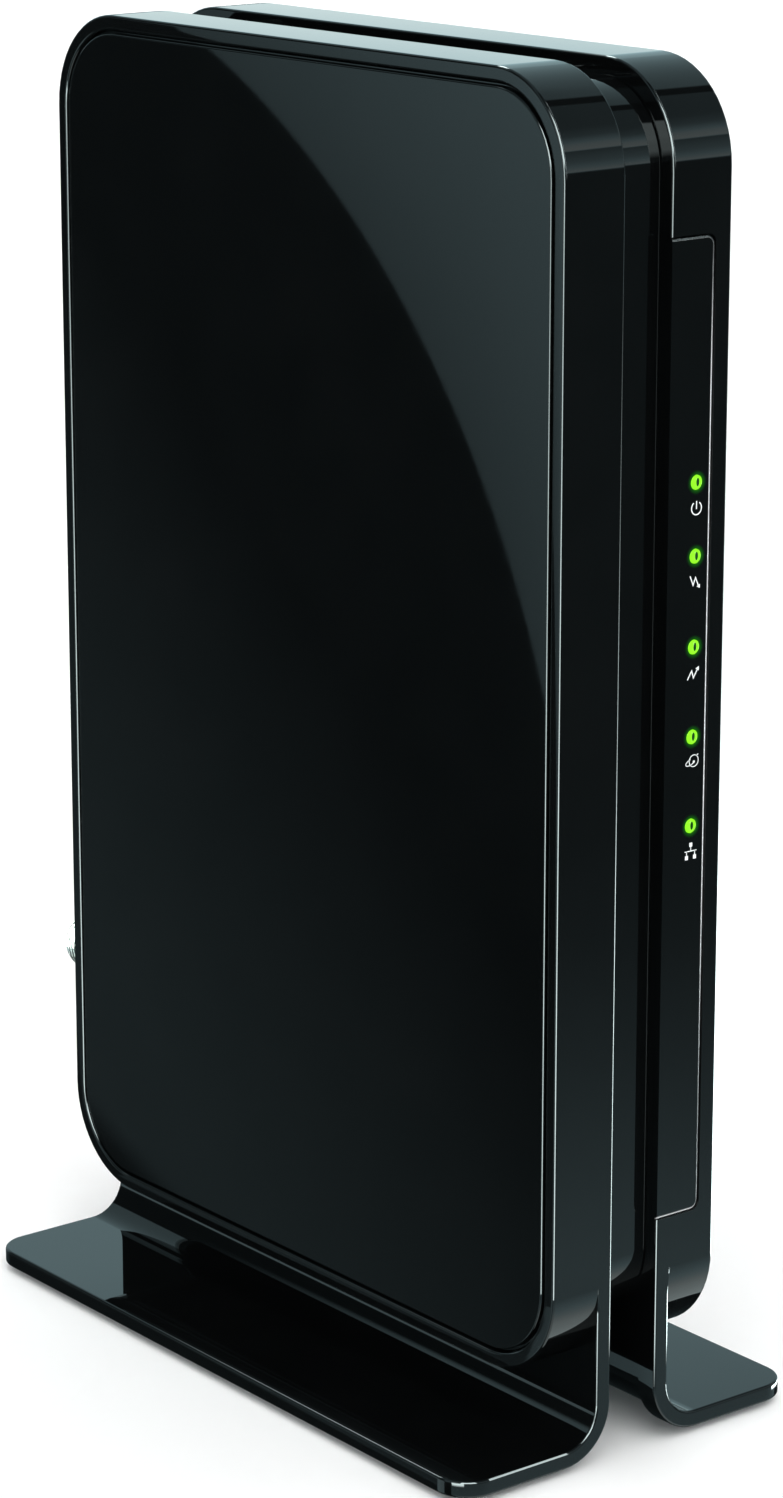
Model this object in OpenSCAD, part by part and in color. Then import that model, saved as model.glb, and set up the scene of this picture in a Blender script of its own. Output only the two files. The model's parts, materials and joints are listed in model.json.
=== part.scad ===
// Cable modem: two upright slabs with a recessed frame between them, on L-shaped feet.
// x runs across the thickness, y from the front (lights) to the rear (sockets), z up.
// The origin is on the ground, under the middle of the whole modem with its coaxial connector.
// Values along y count from the slabs' own middle, and placed() moves each part to the origin.

/* [Body] */
// Depth of the slabs, front to rear
body_depth = 123; // [122:0.5:125]
// Height of the slabs
slab_height = 193.2; // [193:0.1:196]
// Space between the slabs and the ground
ground_gap = 13.8; // [13.5:0.1:14.5]
// Thickness over both slabs
body_thickness = 31.2; // [31:0.1:32]
// Width of the gap between the slabs
gap_width = 8.8; // [8.8:0.1:9]
// Corner radius of the slabs, seen from the side
corner_r = 15; // [14.5:0.5:16]
// How far the middle frame sits back from the slabs' front, rear and top edges
frame_recess = 2.6; // [2.4:0.1:2.8]
// How far the middle frame sits above the slabs' lower edges
frame_lift = 5.1; // [4.8:0.1:5.4]

/* [Walls] */
// Width of the slabs' outer rim
rim = 2.3; // [2:0.1:2.5]
// Thickness of the slabs' inner web
web = 1.8; // [1.6:0.1:2]
// Thickness of the side panels
panel_thickness = 2; // [1.8:0.1:2.2]
// Width of the groove round the side panels
groove = 0.55; // [0.4:0.05:0.7]
// Thickness of the middle frame's wall
frame_wall = 2; // [1.8:0.1:2.2]

/* [Feet] */
// Distance from the middle to a foot's outer edge
foot_reach = 33; // [31:0.5:36]
// Thickness of the legs and feet
leg_thickness = 2.6; // [2.4:0.1:2.8]
// Outer radius of the bend between leg and foot
bend_r = 8.5; // [8:0.1:9]
// Radius of the feet's outer corners, seen from above
foot_corner_r = 5.5; // [4:0.5:7]
// How deep the underside of the bend and foot is cored out
core_depth = 1.4; // [1:0.1:1.5]
// Height of the rubber pads
pad_height = 1.2; // [1:0.1:1.4]

/* [Lights] */
// Distance of the lights from the middle
light_x = 9.8; // [9.5:0.1:10]
// Height of the lowest light
light_low_z = 96.2; // [95:0.1:98]
// Spacing of the four lower lights
light_pitch = 13.4; // [13:0.1:13.6]
// Distance from the fourth light to the top one
light_top_step = 10.8; // [10.5:0.1:11]
// Lower end of the window
window_low_z = 36.4; // [35:0.1:38]
// Upper end of the window
window_high_z = 182.7; // [181:0.1:184]
// Outer edge of the window
window_edge_x = 12.6; // [12.4:0.1:12.8]

/* [Sockets] */
// Sideways place of the sockets' centres
socket_x = -3.7; // [-3.8:0.1:-3.6]
// Height of the power jack
jack_z = 30; // [29.9:0.1:30.1]
// Height of the power switch
switch_z = 38.5; // [38.4:0.1:38.6]
// Height of the coaxial connector
coax_z = 48; // [47.9:0.1:48.1]
// Height of the Ethernet socket
ethernet_z = 70; // [69:0.5:71]
// Height of the reset switch
reset_z = 88; // [87:0.5:92]
// Diameter of the coaxial connector's thread
coax_d = 9.52; // [9.52:0.01:9.53]
// How far the coaxial connector stands out past the slabs
coax_reach = 13.6; // [12:0.1:15]

/* [Hidden] */
$fn = 64;

gloss_black = [0.03, 0.035, 0.035];
satin_black = [0.07, 0.07, 0.07];
bare_metal = [0.75, 0.75, 0.73];
gold = [0.85, 0.68, 0.3];

body_y = body_depth / 2;
slab_low = ground_gap;
slab_high = ground_gap + slab_height;
inner_x = gap_width / 2;
outer_x = body_thickness / 2;
panel_x = outer_x - panel_thickness;
ledge = 1.3;

foot_low = pad_height;
bend_x = inner_x + bend_r;
bend_z = foot_low + bend_r;
core_rim = 4;
pad_r = 4;
pad_x = foot_reach - 8;
pad_y = body_y - 15;
pad_boss_r = pad_r + 1;
pad_boss_height = leg_thickness - 0.5;

frame_y = body_y - frame_recess;
frame_low = slab_low + frame_lift;
frame_high = slab_high - frame_recess;
frame_r = corner_r - frame_recess;

// The webs are open round the electronics and behind the sockets
opening_y = body_y - 9;
opening_low = slab_low + 12;
opening_high = slab_high - 9;
opening_r = 12;

board_x = 2.8;
board_thickness = 1.6;
board_gap = 0.5;
board_back = board_x + board_thickness;

// Case screws, as depth and height
screw_points = [[-51.7, 26.1], [-51.7, 197.2], [51.7, 197.2], [36, 24]];
screw_r = 1.5;
screw_end_x = 9.8;
screw_head_r = 2.75;
screw_head_height = 2;
screw_boss_r = 4.5;
screw_post_r = 3.2;
screw_gap = 0.2;
thread_gap = 0.05;

light_z = [for (i = [0:3]) light_low_z + i * light_pitch, light_low_z + 3 * light_pitch + light_top_step];
light_board_y = -47.5;
window_thickness = 1.2;
window_corner_r = 1.5;
window_hole_r = 1.15;
guide_tip_r = 1;

rear_panel_x = 12.5;
rear_panel_low = 25;
rear_panel_high = 196;
rear_panel_front = body_y - 2.5;
rear_panel_back = body_y - 0.7;
socket_bay_front = 45.2;
socket_bay_high = 100;
rear_bay_front = 55;
fit_gap = 0.25;

chip_y = 0;
chip_z = 118;
heatsink_size = 40;

// Tuner shield, as depth and height of its middle
tuner_y = 24;
tuner_z = 49;

coax_tip = body_y + coax_reach;
coax_thread_r = coax_d / 2;
coax_relief_r = coax_thread_r - 0.26;
washer_thickness = 0.6;
nut_thickness = 2.5;
nut_front = rear_panel_back + washer_thickness;
nut_rear = nut_front + nut_thickness;

ethernet_front = rear_panel_back - 0.4;
ethernet_rear = ethernet_front - 20.8;
ethernet_mouth = ethernet_front - 15;
jack_mouth = rear_panel_back - 0.2;
jack_depth = 10;
jack_bore_r = 3.2;
spring_floor = 44;
button_r = 3;
button_back = 55;
button_face = 63.6;
switch_face = 52;
reset_x = -1.2;

// ---- Helpers ----

// Moves a part so that the origin is under the middle of the whole modem
module placed() translate([0, -coax_reach / 2, 0]) children();

// Extrudes an outline drawn in depth and height from x0 to x1
module along_x(x0, x1) translate([x0, 0, 0]) rotate([90, 0, 90]) linear_extrude(x1 - x0) children();

// Extrudes an outline drawn in width and height from y0 to y1
module along_y(y0, y1) translate([0, y1, 0]) rotate([90, 0, 0]) linear_extrude(y1 - y0) children();

// A box given by two opposite corners
module box(low, high) translate(low) cube(high - low);

// A cylinder along y, at x and z
module rod_y(x, z, y0, y1, r) translate([x, 0, z]) along_y(y0, y1) circle(r);

// A cylinder along x, at y and z
module rod_x(y, z, x0, x1, r) along_x(x0, x1) translate([y, z]) circle(r);

module round_rect(u0, u1, v0, v1, r) {
    translate([u0 + r, v0]) square([u1 - u0 - 2 * r, v1 - v0]);
    translate([u0, v0 + r]) square([u1 - u0, v1 - v0 - 2 * r]);
    for (u = [u0 + r, u1 - r], v = [v0 + r, v1 - r]) translate([u, v]) circle(r);
}

// The slabs' side outline, drawn in by an inset
module slab_outline(inset) {
    low = slab_low + inset;
    high = slab_high - inset;
    round_rect(inset - body_y, body_y - inset, low, high, corner_r - inset);
}

module slab_band(inset, width) difference() {
    slab_outline(inset);
    slab_outline(inset + width);
}

module frame_outline(inset) {
    low = frame_low + inset;
    high = frame_high - inset;
    round_rect(inset - frame_y, frame_y - inset, low, high, frame_r - inset);
}

// Puts a part drawn flat onto the board's component side: local z leaves the board
module on_board(y, z) translate([board_x, y, z]) rotate([90, 0, -90]) children();

module flat_block(size, h0, h1) translate([-size[0] / 2, -size[1] / 2, h0]) cube([size[0], size[1], h1 - h0]);

// ---- Legs and feet ----

// Leg, bend and foot seen from the front, for the right-hand side
module leg_profile(top) {
    translate([inner_x, bend_z]) square([leg_thickness, top - bend_z]);
    translate([bend_x, foot_low]) square([foot_reach - bend_x, leg_thickness]);
    intersection() {
        translate([bend_x, bend_z]) difference() {
            circle(bend_r);
            circle(bend_r - leg_thickness);
        }
        translate([inner_x, foot_low]) square(bend_r);
    }
}

// The hollow under the bend and foot, seen from the front
module core_profile() difference() {
    translate([inner_x - 1, foot_low - 1]) square([foot_reach - core_rim - inner_x + 1, bend_r + 1]);
    translate([bend_x, bend_z]) circle(bend_r - core_depth);
    translate([bend_x, foot_low + core_depth]) square([foot_reach, bend_r]);
}

module foot_plan() {
    straight = body_depth - 2 * foot_corner_r;
    translate([0, -body_y]) square([foot_reach - foot_corner_r, body_depth]);
    translate([0, -straight / 2]) square([foot_reach, straight]);
    for (s = [-1, 1]) translate([foot_reach - foot_corner_r, s * straight / 2]) circle(foot_corner_r);
}

module leg_and_foot() {
    top = slab_low + corner_r;
    difference() {
        intersection() {
            along_y(-body_y, body_y) leg_profile(top);
            linear_extrude(top + 1) foot_plan();
        }
        along_y(core_rim - body_y, body_y - core_rim) core_profile();
    }
    for (s = [-1, 1]) translate([pad_x, s * pad_y, foot_low]) cylinder(r = pad_boss_r, h = pad_boss_height);
}

// ---- Slab housings ----

module web_outline() {
    difference() {
        slab_outline(0);
        round_rect(-opening_y, opening_y, opening_low, opening_high, opening_r);
    }
    for (p = screw_points) translate(p) circle(screw_boss_r);
}

// Everything that the two housings share, for the right-hand side
module housing(hole_r) difference() {
    union() {
        along_x(inner_x, outer_x) slab_band(0, rim);
        along_x(panel_x - ledge, panel_x) slab_band(0, rim + ledge);
        along_x(inner_x, inner_x + web) web_outline();
        difference() {
            leg_and_foot();
            opening_to = inner_x + leg_thickness + 1;
            along_x(0, opening_to) round_rect(-opening_y, opening_y, opening_low, opening_high, opening_r);
        }
    }
    bay_low = rear_panel_low - fit_gap;
    bay_high = rear_panel_high + fit_gap;
    bay_x = rear_panel_x + fit_gap;
    box([0, rear_panel_front - 3.7, bay_low], [panel_x, body_y - rim, bay_high]);
    box([0, socket_bay_front, bay_low], [bay_x, body_y + 1, socket_bay_high]);
    box([0, rear_bay_front, socket_bay_high - 1], [bay_x, body_y + 1, bay_high]);
    for (p = screw_points) rod_x(p[0], p[1], 0, inner_x + web + 1, hole_r);
}

// The left housing has a flat seat under each screw head
module left_housing() color(gloss_black) placed() mirror([1, 0, 0]) difference() {
    housing(screw_r + screw_gap);
    seat_x = inner_x + web;
    for (p = screw_points) rod_x(p[0], p[1], seat_x, seat_x + screw_head_height, screw_head_r + screw_gap);
}

// The right housing holds the screws in closed posts, and has the window's recess
module right_housing() color(gloss_black) placed() difference() {
    union() {
        housing(screw_r + thread_gap);
        for (p = screw_points) difference() {
            rod_x(p[0], p[1], inner_x + web, screw_end_x + 0.7, screw_post_r);
            rod_x(p[0], p[1], inner_x, screw_end_x + 0.1, screw_r + thread_gap);
        }
    }
    window_cut(0.1);
    for (z = light_z) rod_y(light_x, z, -body_y, 2 - body_y + rim, window_hole_r + 0.15);
}

// The window's recess or its plate, larger by a margin
module window_cut(margin) {
    back = window_thickness + margin;
    low = window_low_z - margin;
    high = window_high_z + margin;
    edge = window_edge_x + margin;
    corner = window_corner_r;
    along_y(-body_y - margin, back - body_y) {
        translate([inner_x - margin, low]) square([edge - corner - inner_x + margin, high - low]);
        translate([inner_x, low + corner]) square([edge - inner_x, high - low - 2 * corner]);
        for (z = [low + corner, high - corner]) translate([edge - corner, z]) circle(corner);
    }
}

module led_window() color(gloss_black) placed() difference() {
    window_cut(0);
    for (z = light_z) rod_y(light_x, z, -body_y - 1, 2 - body_y, window_hole_r);
}

// Side panel with a stepped edge that leaves the groove, and snap clips on its back
module side_panel() {
    step_x = outer_x - 0.8;
    along_x(panel_x, step_x) slab_outline(rim + 0.15);
    along_x(step_x - 0.1, outer_x) slab_outline(rim + groove);
    clip_in = rim + ledge + 0.1;
    for (y = [-30, 30]) {
        clip_at = slab_high - clip_in;
        panel_clip([y - 4, y + 4], [clip_at - 1.2, clip_at], [clip_at - 1.2, clip_at + 0.9]);
        clip_low = slab_low + clip_in;
        panel_clip([y - 4, y + 4], [clip_low, clip_low + 1.2], [clip_low - 0.9, clip_low + 1.2]);
    }
    for (z = [60, 165]) {
        clip_y = clip_in - body_y;
        panel_clip([clip_y, clip_y + 1.2], [z - 4, z + 4], [z - 4, z + 4]);
    }
}

// Clip leg with a nub that catches under the housing's ledge
module panel_clip(y_range, z_range, nub_z) {
    box([11, y_range[0], z_range[0]], [panel_x + 0.1, y_range[1], z_range[1]]);
    box([11, y_range[0], nub_z[0]], [panel_x - ledge - 0.15, y_range[1], nub_z[1]]);
}

module left_side_panel() color(gloss_black) placed() mirror([1, 0, 0]) side_panel();

module right_side_panel() color(gloss_black) placed() side_panel();

// ---- Middle frame and rear panel ----

module middle_frame() color(satin_black) placed() difference() {
    union() {
        along_x(-inner_x, inner_x) difference() {
            frame_outline(0);
            frame_outline(frame_wall);
        }
        for (p = screw_points) rod_x(p[0], p[1], -inner_x, board_x, 3.5);
    }
    for (p = screw_points) rod_x(p[0], p[1], -inner_x - 1, board_x + 1, screw_r + screw_gap);
    for (y = [-36:6:36], z = [frame_low, frame_high]) {
        skip = z == frame_low && y > 28;
        if (!skip) box([-3, y - 1.5, z - 3], [3, y + 1.5, z + 3]);
    }
    box([-inner_x - 1, frame_y - 5, rear_panel_low], [inner_x + 1, frame_y + 1, socket_bay_high]);
}

module rear_panel() color(satin_black) placed() difference() {
    union() {
        along_y(rear_panel_front, rear_panel_back)
            round_rect(-rear_panel_x, rear_panel_x, rear_panel_low, rear_panel_high, 2);
        for (s = [-1, 1]) {
            lip_x = s * 12;
            box([lip_x - 1.4, rear_panel_front - 1.6, rear_panel_low + 1],
                [lip_x + 1.4, rear_panel_front + 0.1, rear_panel_high - 1]);
        }
    }
    through = [rear_panel_front - 1, rear_panel_back + 1];
    rod_y(socket_x, jack_z, through[0], through[1], 4.5);
    rod_y(socket_x, switch_z, through[0], through[1], button_r + 0.3);
    rod_y(socket_x, coax_z, through[0], through[1], coax_thread_r + 0.15);
    rod_y(reset_x, reset_z, through[0], through[1], 0.9);
    box([-10.95, through[0] - 2, ethernet_z - 8.4], [2.95, through[1], ethernet_z + 8.4]);
}

module rating_label() color([0.6, 0.6, 0.6]) placed() along_y(rear_panel_back, rear_panel_back + 0.15)
    round_rect(-9, 9, 112, 182, 1);

module rubber_feet() color([0.1, 0.1, 0.1]) placed()
    for (x = [-pad_x, pad_x], y = [-pad_y, pad_y]) translate([x, y, 0]) cylinder(r = pad_r, h = pad_height);

module case_screws() color(bare_metal) placed() for (p = screw_points) difference() {
    head_x = -inner_x - web;
    union() {
        rod_x(p[0], p[1], head_x - screw_head_height, head_x, screw_head_r);
        rod_x(p[0], p[1], head_x - 0.1, screw_end_x, screw_r);
    }
    for (turn = [0, 90]) translate([head_x - screw_head_height, p[0], p[1]]) rotate([turn, 0, 0])
        cube([2.4, 0.6, 3], center = true);
}

// ---- Lights ----

module status_leds() color([0.9, 0.95, 0.7]) placed() for (z = light_z)
    box([board_back, light_board_y - 1, z - 0.8], [board_back + 0.8, light_board_y + 1, z + 0.8]);

// One guide: it takes light from the board and turns it forwards through the window
module guide_pipe(z) {
    foot_x = board_back + 1.1;
    bend = light_board_y + 1;
    translate([0, 0, z - 1]) linear_extrude(2) polygon([
        [foot_x, bend - 2], [foot_x, bend], [light_x - 0.8, bend], [light_x + 1, bend - 1.8],
        [light_x + 1, 3.4 - body_y], [light_x - 1, 3.4 - body_y], [light_x - 1, bend - 2]]);
    rod_y(light_x, z, 0.2 - body_y, 3.6 - body_y, guide_tip_r);
}

module light_guide() color([0.85, 0.95, 0.85]) placed() {
    low = light_z[0];
    high = light_z[4];
    for (z = light_z) guide_pipe(z);
    box([light_x - 0.9, -55, low - 3], [light_x + 0.9, -53, high + 3]);
    for (z = [low - 3, high + 1.5]) box([inner_x + web, -56, z], [light_x + 0.9, -53, z + 1.5]);
}

// ---- Board and its parts ----

module main_board() color([0.05, 0.3, 0.15]) placed() difference() {
    along_x(board_x, board_back) frame_outline(frame_wall + board_gap);
    for (p = screw_points) rod_x(p[0], p[1], board_x - 1, board_back + 1, screw_r + screw_gap);
    for (s = [-1, 1]) rod_x(chip_y + s * 16, chip_z + s * 16, board_x - 1, board_back + 1, 1.6);
}

module main_chip() color(satin_black) placed() on_board(chip_y, chip_z) flat_block([25, 25], 0, 2);

module thermal_pad() color([0.5, 0.6, 0.75]) placed() on_board(chip_y, chip_z) flat_block([22, 22], 2, 3);

module heatsink() color(bare_metal) placed() on_board(chip_y, chip_z) difference() {
    union() {
        flat_block([heatsink_size, heatsink_size], 3, 5);
        for (i = [-4:4]) translate([i * 4.7, 0, 0]) flat_block([1.2, heatsink_size], 4.9, 11);
    }
    for (s = [-1, 1]) translate([-s * 16, s * 16, 0]) {
        cylinder(r = 1.6, h = 6);
        translate([0, 0, 5]) cylinder(r = 3.8, h = 7);
    }
}

// Push pins that clamp the heatsink to the board
module heatsink_pins() color([0.9, 0.9, 0.85]) placed() on_board(chip_y, chip_z)
    for (s = [-1, 1]) translate([-s * 16, s * 16, 0]) {
        translate([0, 0, -3.2]) cylinder(r = 1.4, h = 9);
        translate([0, 0, 5]) cylinder(r = 3, h = 1.5);
    }

module memory_chip() color(satin_black) placed() on_board(-34, chip_z) flat_block([9, 13.5], 0, 1.2);

module flash_chip() color(satin_black) placed() on_board(-34, 96) legged_chip([7.5, 10.3], 2.3, 8, 1.27);

module voltage_regulators() color(satin_black) placed()
    for (y = [-26, -12]) on_board(y, 31) legged_chip([3.9, 4.9], 1.6, 4, 1.27);

// Small package with gull-wing legs on two sides
module legged_chip(size, height, legs, pitch) {
    flat_block(size, 0.1, height);
    for (i = [0:legs - 1], s = [-1, 1]) translate([s * (size[0] / 2 + 0.4), (i - (legs - 1) / 2) * pitch, 0])
        flat_block([0.9, 0.4], 0, 0.6);
}

module power_inductors() color([0.25, 0.25, 0.25]) placed()
    for (y = [-40, -26, -12]) on_board(y, 45) difference() {
        flat_block([8, 8], 0, 4);
        for (turn = [45:90:315]) rotate([0, 0, turn]) translate([5, -5, -1]) cube([3, 10, 6]);
    }

module electrolytic_capacitors() color([0.2, 0.25, 0.45]) placed() {
    for (y = [10, 22]) on_board(y, 31) cylinder(r = 4, h = 8.5);
    for (y = [-24, -8]) on_board(y, 62) cylinder(r = 3.15, h = 6);
}

module crystals() color(bare_metal) placed() for (p = [[30, 104], [-8, 80]]) on_board(p[0], p[1]) {
    flat_block([6.4, 4.6], 0, 3.5);
    for (s = [-1, 1]) translate([s * 3.2, 0, 0]) cylinder(r = 2.3, h = 3.5);
}

// Resistors and ceramic capacitors round the main chip
module chip_components() color([0.55, 0.42, 0.3]) placed() {
    for (i = [0:9], y = [-25, 24]) on_board(y, 98 + i * 4) flat_block([1.6, 0.8], 0, 0.7);
    for (i = [0:7], z = [92, 143]) on_board(i * 5 - 18, z) flat_block([0.8, 1.6], 0, 0.7);
}

module ethernet_transformer() color(satin_black) placed() on_board(28, 73) legged_chip([10, 15], 5.6, 8, 1.6);

module tuner_chip() color(satin_black) placed() on_board(tuner_y, tuner_z) flat_block([7, 7], 0, 0.9);

module tuner_shield_frame() color(bare_metal) placed() on_board(tuner_y, tuner_z) difference() {
    flat_block([30, 24], 0, 5.5);
    flat_block([29.2, 23.2], -1, 7);
}

module tuner_shield_lid() color(bare_metal) placed() on_board(tuner_y, tuner_z) difference() {
    flat_block([30.7, 24.7], 3.6, 5.8);
    flat_block([30.1, 24.1], 3, 5.5);
    for (x = [-9:6:9], y = [-6:6:6]) translate([x, y, 5]) cylinder(r = 1, h = 1);
}

// ---- Coaxial connector ----

module coax_connector_body() color(bare_metal) placed() difference() {
    union() {
        box([socket_x - 6, 44, coax_z - 5.4], [board_x, 56.6, coax_z + 5.4]);
        rod_y(socket_x, coax_z, 56.5, rear_panel_front, 5.3);
        rod_y(socket_x, coax_z, rear_panel_front - 0.5, nut_rear, coax_relief_r);
        rod_y(socket_x, coax_z, nut_rear, coax_tip, coax_thread_r);
    }
    rod_y(socket_x, coax_z, 50, coax_tip + 1, 2.9);
}

module coax_insulator() color([0.92, 0.92, 0.9]) placed() difference() {
    rod_y(socket_x, coax_z, 50.1, coax_tip - 0.7, 2.85);
    rod_y(socket_x, coax_z, 53.9, coax_tip - 1.6, 0.95);
    rod_y(socket_x, coax_z, 60, coax_tip, 0.6);
}

module coax_contact() color(gold) placed() difference() {
    rod_y(socket_x, coax_z, 54, coax_tip - 1.7, 0.9);
    rod_y(socket_x, coax_z, 58, coax_tip, 0.55);
}

module coax_washer() color(bare_metal) placed() difference() {
    rod_y(socket_x, coax_z, rear_panel_back, nut_front, 6);
    rod_y(socket_x, coax_z, rear_panel_back - 1, rear_panel_back + 1, coax_thread_r + 0.1);
}

module coax_nut() color(bare_metal) placed() difference() {
    translate([socket_x, 0, coax_z]) along_y(nut_front, nut_rear) circle(6.35, $fn = 6);
    rod_y(socket_x, coax_z, rear_panel_back, rear_panel_back + 4, coax_thread_r + 0.04);
}

// ---- Ethernet socket ----

module ethernet_jack_housing() color(satin_black) placed() difference() {
    box([-10.4, ethernet_rear + 0.3, ethernet_z - 7.8], [board_x, ethernet_front, ethernet_z + 7.8]);
    box([-8.2, ethernet_mouth, ethernet_z - 5.95], [-1.2, ethernet_front + 1, ethernet_z + 5.95]);
    box([-2, ethernet_mouth, ethernet_z - 3.15], [0.2, ethernet_front + 1, ethernet_z + 3.15]);
    box([-2, ethernet_mouth, ethernet_z - 2], [1.3, ethernet_front + 1, ethernet_z + 2]);
}

module ethernet_jack_shield() color(bare_metal) placed() difference() {
    half = 8.1;
    sheet = 0.25;
    in = half - sheet;
    inside = [board_x + 1, ethernet_front + 1, ethernet_z + in];
    box([-10.7, ethernet_rear, ethernet_z - half], [board_x, ethernet_front, ethernet_z + half]);
    box([sheet - 10.7, ethernet_rear + sheet, ethernet_z - in], inside);
}

module ethernet_jack_contacts() color(gold) placed() for (i = [0:7]) {
    rear = ethernet_mouth;
    tip = rear + 12.5;
    translate([0, 0, ethernet_z + (i - 3.5) * 1.02 - 0.2]) linear_extrude(0.4) polygon([
        [-5.7, rear], [-5.3, rear], [-5.3, rear + 3], [-7.8, tip], [-8.15, tip], [-5.7, rear + 2.9]]);
}

// ---- Power jack, power switch and reset switch ----

module power_jack_housing() color(satin_black) placed() difference() {
    union() {
        box([socket_x - 4.9, 46, jack_z - 4.5], [board_x, rear_panel_front - 0.2, jack_z + 4.5]);
        rod_y(socket_x, jack_z, 50, jack_mouth, 4.2);
    }
    rod_y(socket_x, jack_z, jack_mouth - jack_depth, jack_mouth + 1, jack_bore_r);
    rod_y(socket_x, jack_z, 45, jack_mouth, 1.05);
    slot = [socket_x - 2, jack_mouth - 2.5, jack_z + 1.3];
    box([socket_x - 4.2, jack_mouth - jack_depth, jack_z - 1.3], slot);
}

module power_jack_pin() color(bare_metal) placed() {
    rod_y(socket_x, jack_z, 45.5, jack_mouth - 1.5, 1);
    translate([socket_x, jack_mouth - 1.5, jack_z]) sphere(r = 1);
}

module power_jack_spring_contact() color(bare_metal) placed() translate([socket_x, jack_mouth, jack_z - 1])
    linear_extrude(2) polygon([
        [-4.1, -9.9], [-3.8, -9.9], [-3.8, -8], [-2.9, -6], [-3.8, -3], [-4.1, -3], [-3.2, -6], [-4.1, -8]]);

module power_switch_body() color(satin_black) placed() difference() {
    box([socket_x - 3.5, 42, switch_z - 3.4], [board_x, switch_face, switch_z + 3.4]);
    rod_y(socket_x, switch_z, spring_floor, switch_face + 1, 1.8);
}

// Helical spring between the switch's floor and the button's stem
module power_switch_spring() color(bare_metal) placed() {
    turns = 5;
    steps = 16;
    sides = 6;
    spring_r = 1.3;
    wire_r = 0.18;
    spring_length = 4.9;
    y0 = spring_floor + wire_r;
    pitch = (spring_length - 2 * wire_r) / turns;
    rings = turns * steps + 1;
    points = [for (i = [0:rings - 1], j = [0:sides - 1])
        let (turn = 360 * i / steps, around = 360 * j / sides, r = spring_r + wire_r * cos(around))
        [r * cos(turn), y0 + pitch * i / steps + wire_r * sin(around), r * sin(turn)]];
    walls = [for (i = [0:rings - 2], j = [0:sides - 1])
        let (a = i * sides + j, b = i * sides + (j + 1) % sides) [a, b, b + sides, a + sides]];
    ends = [[for (j = [sides - 1:-1:0]) j], [for (j = [0:sides - 1]) (rings - 1) * sides + j]];
    translate([socket_x, 0, switch_z]) polyhedron(points, concat(walls, ends));
}

// Cap, retaining flange and stem in one moulding
module power_button() color(satin_black) placed() {
    rod_y(socket_x, switch_z, button_back, button_face, button_r);
    rod_y(socket_x, switch_z, 57, 58.4, button_r + 0.8);
    rod_y(socket_x, switch_z, 49, button_back + 1, 1.4);
}

module reset_switch_body() color(satin_black) placed() difference() {
    box([reset_x - 2.6, 48, reset_z - 3], [board_x, 52, reset_z + 3]);
    rod_y(reset_x, reset_z, 49.9, 53, 1.3);
}

module reset_plunger() color([0.8, 0.3, 0.2]) placed() rod_y(reset_x, reset_z, 50.4, 54, 1);

// ---- Drawing ----

left_housing();
right_housing();
left_side_panel();
right_side_panel();
middle_frame();
led_window();
light_guide();
rear_panel();
rating_label();
rubber_feet();
case_screws();
main_board();
main_chip();
thermal_pad();
heatsink();
heatsink_pins();
memory_chip();
flash_chip();
voltage_regulators();
power_inductors();
electrolytic_capacitors();
crystals();
chip_components();
status_leds();
ethernet_transformer();
tuner_chip();
tuner_shield_frame();
tuner_shield_lid();
coax_connector_body();
coax_insulator();
coax_contact();
coax_washer();
coax_nut();
ethernet_jack_housing();
ethernet_jack_shield();
ethernet_jack_contacts();
power_jack_housing();
power_jack_pin();
power_jack_spring_contact();
power_switch_body();
power_switch_spring();
power_button();
reset_switch_body();
reset_plunger();
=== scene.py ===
"""Looks of the cable modem: studio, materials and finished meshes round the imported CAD."""

import json
import math

import bmesh
import bpy
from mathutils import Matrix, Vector


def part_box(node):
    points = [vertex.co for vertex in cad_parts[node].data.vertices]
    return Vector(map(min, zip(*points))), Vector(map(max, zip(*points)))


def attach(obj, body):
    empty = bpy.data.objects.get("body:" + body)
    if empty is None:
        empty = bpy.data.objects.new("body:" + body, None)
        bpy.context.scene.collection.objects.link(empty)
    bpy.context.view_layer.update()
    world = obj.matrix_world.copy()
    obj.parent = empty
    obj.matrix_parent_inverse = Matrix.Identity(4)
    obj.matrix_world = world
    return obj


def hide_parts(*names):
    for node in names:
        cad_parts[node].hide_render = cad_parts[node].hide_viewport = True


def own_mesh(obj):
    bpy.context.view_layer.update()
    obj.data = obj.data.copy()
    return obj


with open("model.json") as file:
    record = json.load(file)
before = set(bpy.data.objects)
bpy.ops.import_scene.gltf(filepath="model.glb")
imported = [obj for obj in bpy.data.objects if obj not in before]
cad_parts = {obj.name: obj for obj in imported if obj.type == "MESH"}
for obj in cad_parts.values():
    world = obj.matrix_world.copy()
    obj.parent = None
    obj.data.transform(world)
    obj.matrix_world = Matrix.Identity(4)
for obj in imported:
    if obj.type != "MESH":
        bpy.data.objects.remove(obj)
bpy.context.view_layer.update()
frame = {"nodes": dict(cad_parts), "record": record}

MM = 0.001
ROOT = "modem"

# ---- Places taken from the frame ----

window_low, window_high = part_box("led_window")
guide_low, guide_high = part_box("light_guide")
coax_low, coax_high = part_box("coax_connector_body")
nut_low, nut_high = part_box("coax_nut")

LENS_R = 1.08 * MM
# How far the window's face sits back from the front of its slab
WINDOW_INSET = 0.05 * MM
LIGHT_FROM_GUIDE_SIDE = 1.0 * MM
light_x = guide_high.x - LIGHT_FROM_GUIDE_SIDE
# The ends in z of the five emitters, in pairs, and the middle of each pair
led_edges = sorted({round(v.co.z / MM, 2) for v in frame["nodes"]["status_leds"].data.vertices})
light_z = [(low + high) / 2 * MM for low, high in zip(led_edges[::2], led_edges[1::2])]


# ---- Shader nodes ----


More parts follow.
